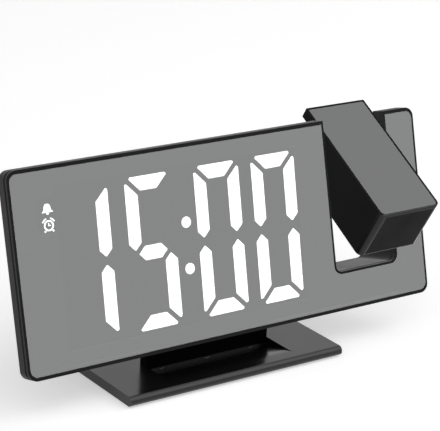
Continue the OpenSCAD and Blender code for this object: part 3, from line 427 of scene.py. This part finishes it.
def add_block(mesh, size, place):
    """A box of the given size about a place in the leaning body. Returns its edges."""
    made = bmesh.ops.create_cube(mesh, size=1, matrix=BODY_FRAME
                                 @ Matrix.Translation(place) @ Matrix.Diagonal((*size, 1)))
    return list({edge for vert in made["verts"] for edge in vert.link_edges})


tin_plate = metal("tin_plate", (0.66, 0.66, 0.67), 0.28, grain=0.0015)
for socket in ("usb_port", "power_socket"):
    fit(softened(socket, socket + "_shell", 0.00008, 2), "clock", tin_plate, "plated_steel",
        socket)

tongue = bmesh.new()
round_edges(tongue, add_block(tongue, TONGUE_SIZE, TONGUE_PLACE), 0.0002, 2)
tongue_white = moulded("tongue_white", (0.7, 0.7, 0.69), 0.45, gloss=0.5, grain=0.0006,
                       relief=0.00001)
fit(finished(tongue, "usb_tongue"), "clock", tongue_white, "holder_white")

contacts = bmesh.new()
for row in CONTACT_ROWS:
    place = (TONGUE_PLACE[0] - 0.001, TONGUE_PLACE[1] - TONGUE_SIZE[1] / 2,
             TONGUE_PLACE[2] + row)
    round_edges(contacts, add_block(contacts, CONTACT_SIZE, place), 0.00005, 1)
fit(finished(contacts, "usb_contacts"), "clock", metal("gilt", (0.85, 0.6, 0.2), 0.25),
    "plated_steel")

# ---- Coin cell and holder ----
# A bright nickel-plated cell keeps the time in a power cut. It sits in a natural nylon ring.

finish_node("cell_holder", moulded("natural_nylon", (0.70, 0.68, 0.60), 0.5, gloss=0.4,
                                   grain=0.0008, relief=0.00001))
nickel = metal("nickel_plate", (0.72, 0.71, 0.69), 0.22, grain=0.0004, stretch=(1, 1, 6))
fit(softened("coin_cell", "coin_cell_can", 0.0002), "clock", nickel, "cell_steel", "coin_cell")

# ---- Speaker ----
# A small round speaker glued behind the slots: a stamped basket, a black paper cone with a rolled
# surround, and a dust cap at its middle.

SPEAKER_PLACE = (-0.0508, 0.0, 0.033)
SPEAKER_PROFILE = ((0.0, 0.0152), (0.0108, 0.0152), (0.0110, 0.0154), (0.0110, 0.0202),
                   (0.0108, 0.0204), (0.0101, 0.0204), (0.0099, 0.0200), (0.0095, 0.0203),
                   (0.0089, 0.0204), (0.0083, 0.0202), (0.0079, 0.0197), (0.0045, 0.0176),
                   (0.0040, 0.0180), (0.0030, 0.0187), (0.0016, 0.0191), (0.0, 0.0192))
ALONG_DEPTH = Matrix.Rotation(-math.pi / 2, 4, "X")


def spun(profile, placing, name, steps=48):
    """A turned shape from a profile of radius and height, spun once round the height's axis."""
    mesh = bmesh.new()
    verts = [mesh.verts.new((radius, 0, height)) for radius, height in profile]
    edges = [mesh.edges.new(pair) for pair in zip(verts, verts[1:])]
    bmesh.ops.spin(mesh, geom=verts + edges, cent=(0, 0, 0), axis=(0, 0, 1),
                   angle=math.tau, steps=steps, use_merge=True)
    bmesh.ops.remove_doubles(mesh, verts=mesh.verts, dist=0.000001)
    bmesh.ops.recalc_face_normals(mesh, faces=mesh.faces)
    bmesh.ops.transform(mesh, matrix=placing, verts=mesh.verts)
    return finished(mesh, name)


speaker_frame = BODY_FRAME @ Matrix.Translation(SPEAKER_PLACE) @ ALONG_DEPTH
paper_cone = moulded("paper_cone", (0.03, 0.03, 0.031), 0.8, gloss=0.3, grain=0.0003,
                     relief=0.00004)
fit(spun(SPEAKER_PROFILE, speaker_frame, "speaker_unit"), "clock", paper_cone, "speaker_black",
    "speaker")

# ---- Display ----
# A matt black block with a light well for each segment. A thin white diffuser closes each well,
# and the ones that read 15:00 are lit. The unlit diffusers are painted the block's black: painted
# shade for the dark behind the mirror.


def lit_diffuser():
    material, tree, shader = new_material("lit_diffuser", (0.9, 0.9, 0.9), 0.4)
    shader.inputs["Emission Color"].default_value = (1, 1, 1, 1)
    shader.inputs["Emission Strength"].default_value = 3
    cloud = add_noise(tree, 0.004)
    add_tint(tree, shader, cloud, (0.86, 0.87, 0.88), (0.92, 0.92, 0.92))
    return material


def rounded_diffusers(node, name, corner):
    """Diffusers with their corners rounded in outline, as moulded light guides have them."""
    mesh = joined_copy(node)
    depth_axis = Vector((0, math.cos(LEAN), -math.sin(LEAN)))
    corners = [edge for edge in sharp_edges(mesh, 20)
               if abs((edge.verts[0].co - edge.verts[1].co).normalized().dot(depth_axis)) > 0.99]
    round_edges(mesh, corners, corner, 4)
    return finished(mesh, name)


lit = lit_diffuser()
fit(rounded_diffusers("lit_segments", "lit_segment_diffusers", 0.00035), "clock", lit,
    "lit_white", "lit_segments")
finish_node("colon_dots", lit)

well_black_and_painted_shade = moulded("well_black_and_painted_shade", (0.002, 0.002, 0.002), 0.9, gloss=0.0, grain=0.0004,
                     relief=0.00002)
# The unlit segments get the block's black as painted shade, in place of their own white.
for part in ("display_block", "alarm_window", "unlit_segments"):
    finish_node(part, well_black_and_painted_shade)

lamp_resin = moulded("lamp_resin", (0.85, 0.78, 0.5), 0.25, gloss=0.5, grain=0.0005,
                     relief=0.00001)
finish_node("display_leds", lamp_resin)

# ---- Alarm marks ----
# A bell over a small alarm clock, cut out of a white-lit foil in a window of their own.

MM = 0.001
ICON_X = -0.0817
ICON_Z = 0.0601
ICON_FOIL = (0.00086, 0.001)
BELL = ((-2.3, -1.55), (-2.2, -1.1), (-1.6, -0.6), (-1.4, 0.6), (-1.0, 1.4), (-0.4, 1.75),
        (0.4, 1.75), (1.0, 1.4), (1.4, 0.6), (1.6, -0.6), (2.2, -1.1), (2.3, -1.55))
HANDS = ((-0.2, -0.2, 0.2, 0.95), (-0.2, -0.2, 0.8, 0.2))


def add_plate(mesh, outline, middle, depths):
    """A thin plate with an outline in millimetres about a point of the leaning body's face."""
    face = mesh.faces.new([mesh.verts.new((middle[0] + x * MM, depths[0], middle[1] + z * MM))
                           for x, z in outline])
    made = bmesh.ops.extrude_face_region(mesh, geom=[face])
    moved = [item for item in made["geom"] if isinstance(item, bmesh.types.BMVert)]
    bmesh.ops.translate(mesh, verts=moved, vec=(0, depths[1] - depths[0], 0))


def add_arc(mesh, middle, depths, inner, outer, start=0, end=360, steps=32):
    """A plate in the shape of a ring, or of a part of one between two angles in degrees."""
    turns = [math.radians(start + (end - start) * i / steps) for i in range(steps + 1)]
    for first, last in zip(turns, turns[1:]):
        corners = ((inner, first), (outer, first), (outer, last), (inner, last))
        add_plate(mesh, [(r * math.cos(a), r * math.sin(a)) for r, a in corners], middle, depths)


def add_bell(mesh, middle, depths, size=1.0):
    add_plate(mesh, [(x * size, z * size) for x, z in BELL], middle, depths)
    clapper = (middle[0], middle[1] - 1.75 * size * MM)
    add_arc(mesh, clapper, depths, 0.1 * size, 0.62 * size, 180, 360, 12)


def add_clock_face(mesh, middle, depths, size=1.0):
    add_arc(mesh, middle, depths, 1.5 * size, 2.1 * size)
    for x0, z0, x1, z1 in HANDS:
        corners = ((x0, z0), (x1, z0), (x1, z1), (x0, z1))
        add_plate(mesh, [(x * size, z * size) for x, z in corners], middle, depths)


def plated_marks(mesh, name):
    """Marks drawn on the leaning body's face, made into an object."""
    bmesh.ops.remove_doubles(mesh, verts=mesh.verts, dist=0.000001)
    bmesh.ops.recalc_face_normals(mesh, faces=mesh.faces)
    bmesh.ops.transform(mesh, matrix=BODY_FRAME, verts=mesh.verts)
    return finished(mesh, name)


marks = bmesh.new()
add_bell(marks, (ICON_X, ICON_Z + 3.1 * MM), ICON_FOIL)
dial = (ICON_X, ICON_Z - 3.4 * MM)
add_clock_face(marks, dial, ICON_FOIL)
for side in (-40, 40):
    add_arc(marks, dial, ICON_FOIL, 2.55, 3.1, 90 + side - 22, 90 + side + 22, 10)
    foot = (dial[0] + 2.7 * MM * math.sin(math.radians(side)),
            dial[1] - 2.7 * MM * math.cos(math.radians(side)))
    add_arc(marks, foot, ICON_FOIL, 0.05, 0.4, 0, 360, 12)
fit(plated_marks(marks, "alarm_marks"), "clock", lit, "lit_white", "alarm_icons")

# ---- Front frame ----
# A thin black moulding that holds the pane in a shallow recess. Its edge shows round the mirror,
# and an open groove parts it from the rear case.

frame_satin = moulded("frame_satin", (0.004, 0.004, 0.0043), 0.34, gloss=0.13, grain=0.0006,
                      relief=0.00001)
fit(softened("front_frame", "front_frame_moulding", 0.00025), "clock", frame_satin,
    "frame_black", "front_frame")

# ---- Mirror pane ----
# A smoked acrylic half mirror that fills the front. It shows a grey reflection with faint
# fingerprints, and the lit segments shine through it.


def half_mirror(name, colour, alpha):
    """The coated face of a pane: part mirror, part clear, with faint prints and ripples."""
    material, tree, shader = new_material(name, colour, 0.03, metallic=1)
    shader.inputs["Alpha"].default_value = alpha
    print_marks = add_noise(tree, 0.025, 6)
    swing = add_range(tree, print_marks, 0.01, 0.08, 0.35, 0.7)
    tree.links.new(swing, shader.inputs["Roughness"])
    ripple = add_noise(tree, 0.05, 1)
    add_relief(tree, shader, ripple, 0.00001)
    return material


def smoked_back():
    """The bare face of a pane, which only dims what lies behind it."""
    material, tree, shader = new_material("smoked_back", (0.002, 0.002, 0.002), 0.4, gloss=0)
    shader.inputs["Alpha"].default_value = 0.12
    haze = add_noise(tree, 0.01, 3)
    swing = add_range(tree, haze, 0.35, 0.45)
    tree.links.new(swing, shader.inputs["Roughness"])
    return material


def coated_pane(node, name, body, mirror, slot, outward):
    """A flat pane with its coating outside. Its bare back faces the other way."""
    mesh = joined_copy(node)
    round_edges(mesh, sharp_edges(mesh), 0.00008, 2)
    pane = finished(mesh, name, 5)
    fit(pane, body, mirror, slot, node)
    pane.data.materials.append(bare_back)
    for face in pane.data.polygons:
        face.material_index = int(face.normal.dot(outward) < 0.99)


bare_back = smoked_back()
pane_mirror = half_mirror("smoked_half_mirror", (0.4, 0.407, 0.404), 0.6)
coated_pane("mirror_pane", "mirror_pane_sheet", "clock", pane_mirror, "smoked_mirror",
            Vector((0, -math.cos(LEAN), math.sin(LEAN))))

# ---- Buttons and snooze bar ----
# Satin black caps on push switches: a row of five on the raised back, and a long bar on its top.
# Each rear cap carries a small mark, pad-printed in white.

BUTTON_X = -0.03035
BUTTON_STEP = 0.012
BUTTON_Z = 0.05
PRINT = (0.02328, 0.02334)
ARROW = ((-1.3, -0.8), (1.3, -0.8), (0, 1.2))
BEAM = ((-0.5, 0.3), (0.5, 0.3), (1.5, 1.6), (-1.5, 1.6))


def add_projector_mark(mesh, middle, depths):
    add_arc(mesh, (middle[0], middle[1] - 0.7 * MM), depths, 0.1, 0.75)
    add_plate(mesh, BEAM, middle, depths)


def add_arrow(mesh, middle, depths, way=1):
    add_plate(mesh, [(x, z * way) for x, z in ARROW], middle, depths)


cap_satin = moulded("cap_satin", (0.010, 0.010, 0.0105), 0.35, gloss=0.3, grain=0.0006,
                    relief=0.00001)
pad_print = moulded("pad_print", (0.62, 0.62, 0.62), 0.6, gloss=0.3, grain=0.0003, relief=0.000004)
caps = (("mode_button", add_clock_face, 0.7), ("up_button", add_arrow, 1),
        ("down_button", add_arrow, -1), ("alarm_button", add_bell, 0.8),
        ("projector_button", add_projector_mark, None))
for index, (cap, draw_mark, setting) in enumerate(caps):
    fit(softened(cap, cap + "_cap", 0.0003), cap, cap_satin, "button_black", cap)
    mark = bmesh.new()
    middle = (BUTTON_X + (index - 2) * BUTTON_STEP, BUTTON_Z)
    draw_mark(mark, middle, PRINT, *(() if setting is None else (setting,)))
    fit(plated_marks(mark, cap + "_mark"), cap, pad_print, "holder_white")
fit(softened("snooze_bar", "snooze_bar_cap", 0.0003), "snooze_bar", cap_satin, "button_black",
    "snooze_bar")

# ---- Battery door ----
# The door over the coin cell snaps in flush with the raised back. It has a round finger recess
# and the same grain as the case.

fit(softened("battery_door", "battery_door_cover", 0.00025), "battery_door", case_grain,
    "case_black", "battery_door")

# ---- Hinge ----
# Turned steel axles in pale acetal bushes, with spring washers and open clips that hold them.

acetal = moulded("acetal", (0.6, 0.57, 0.48), 0.45, gloss=0.5, grain=0.0006, relief=0.00001)
finish_node("hinge_bush_left", acetal)
finish_node("hinge_bush_right", acetal)
turned_steel = metal("turned_steel", (0.45, 0.45, 0.46), 0.3, grain=0.0003, stretch=(8, 1, 1))
for part in ("hinge_axle_left", "hinge_axle_right", "hinge_washers", "hinge_clips"):
    finish_node(part, turned_steel)

# ---- Lamp leads ----
# A pair of thin red wires in one sleeve, from the main board through the hollow axle to the lamp.

sleeve_red = moulded("sleeve_red", (0.42, 0.02, 0.015), 0.4, gloss=0.5, grain=0.0006,
                     relief=0.00001)
finish_node("case_lead", sleeve_red)
finish_node("lamp_lead", sleeve_red)

# ---- Projector block ----
# A dead matt black box with a hood over the lens. Its rounded edges are rubbed a little brighter.
# A pane of the same half mirror covers its front, and a screwed cover closes its back.

BLOCK_LEAN = LEAN + math.radians(45)
BLOCK_AXES = (Vector((1, 0, 0)), Vector((0, math.cos(BLOCK_LEAN), -math.sin(BLOCK_LEAN))),
              Vector((0, math.sin(BLOCK_LEAN), math.cos(BLOCK_LEAN))))
block_matt = moulded("block_matt", (0.005, 0.005, 0.0052), 0.48, gloss=0.04, grain=0.0005,
                     relief=0.00002)
block_edge = moulded("block_edge", (0.004, 0.004, 0.0042), 0.3, gloss=0.32, grain=0.0006,
                     relief=0.00001)
shell = softened("projector_shell", "projector_shell_moulding", 0.0003)
fit(shell, "projector", block_matt, "projector_black", "projector_shell")
shell.data.materials.append(block_edge)
for face in shell.data.polygons:
    along = max(abs(face.normal.dot(axis)) for axis in BLOCK_AXES)
    face.material_index = int(along < 0.995)
fit(softened("projector_cover", "projector_cover_plate", 0.0002), "projector", block_matt,
    "projector_black", "projector_cover")
block_mirror = half_mirror("projector_half_mirror", (0.235, 0.24, 0.237), 0.8)
coated_pane("projector_mirror", "projector_mirror_sheet", "projector", block_mirror,
            "projector_mirror", Vector((0, -math.cos(BLOCK_LEAN), math.sin(BLOCK_LEAN))))

# ---- Projector optics ----
# A red lamp on a white-printed metal board shines through a clear condenser and a small liquid
# crystal slide. The ring screws the lens barrel in and out, and its coated lens has a painted red
# glow for the lamp's light in it.

finish_node("optics_frame", moulded("optics_black", (0.014, 0.014, 0.015), 0.7, gloss=0.2,
                                    grain=0.0004, relief=0.00002))
finish_node("lamp_board", moulded("white_print", (0.78, 0.78, 0.78), 0.4, gloss=0.5, grain=0.0006,
                                  relief=0.00001))


def clear(name, colour, roughness, transmission, glow=0.0):
    """Clear or coated optics with a faint smear. A glow in their own colour lights a lamp; on a
    lens it is painted light from the lamp behind.
    """
    material, tree, shader = new_material(name, colour, roughness)
    shader.inputs["Transmission Weight"].default_value = transmission
    shader.inputs["Emission Color"].default_value = (*colour, 1)
    shader.inputs["Emission Strength"].default_value = glow
    smear = add_noise(tree, 0.004, 4)
    swing = add_range(tree, smear, roughness * 0.5, roughness * 2)
    tree.links.new(swing, shader.inputs["Roughness"])
    return material


finish_node("lamp_led", clear("red_lamp", (0.9, 0.03, 0.02), 0.1, transmission=0.2, glow=2.0))
finish_node("condenser_lens", clear("clear_acrylic", (0.93, 0.96, 0.97), 0.03, transmission=0.9))
finish_node("image_slide", clear("slide_glass", (0.15, 0.17, 0.18), 0.05, transmission=0.3))
# The lens's red glow is painted light from the lamp behind it, not a lamp of its own.
finish_node("projection_lens", clear("coated_lens", (0.7, 0.02, 0.03), 0.03, transmission=0.3,
                                     glow=0.3))
fit(softened("focus_ring", "focus_ring_grip", 0.0001, 2), "focus_ring", cap_satin,
    "focus_black", "focus_ring")
fit(softened("lens_barrel", "lens_barrel_tube", 0.00015, 2), "lens", block_matt,
    "focus_black", "lens_barrel")

# ---- Reflections ----
# The mirrors and the base's gloss show the plain white studio, and not the body or the projector.
# The lit diffusers are seen but throw no light into the dark display block.

stand = ("stand_base_plate", "stand_neck_plate", "rubber_foot_pads", "stand_screws_turned",
         "neck_screws_turned")
for item in bpy.context.scene.objects:
    if item.type == "MESH" and item.name not in stand + ("studio_floor",):
        item.visible_glossy = False
for item in (bpy.data.objects["lit_segment_diffusers"], bpy.data.objects["alarm_marks"],
             nodes["colon_dots"]):
    item.visible_diffuse = False
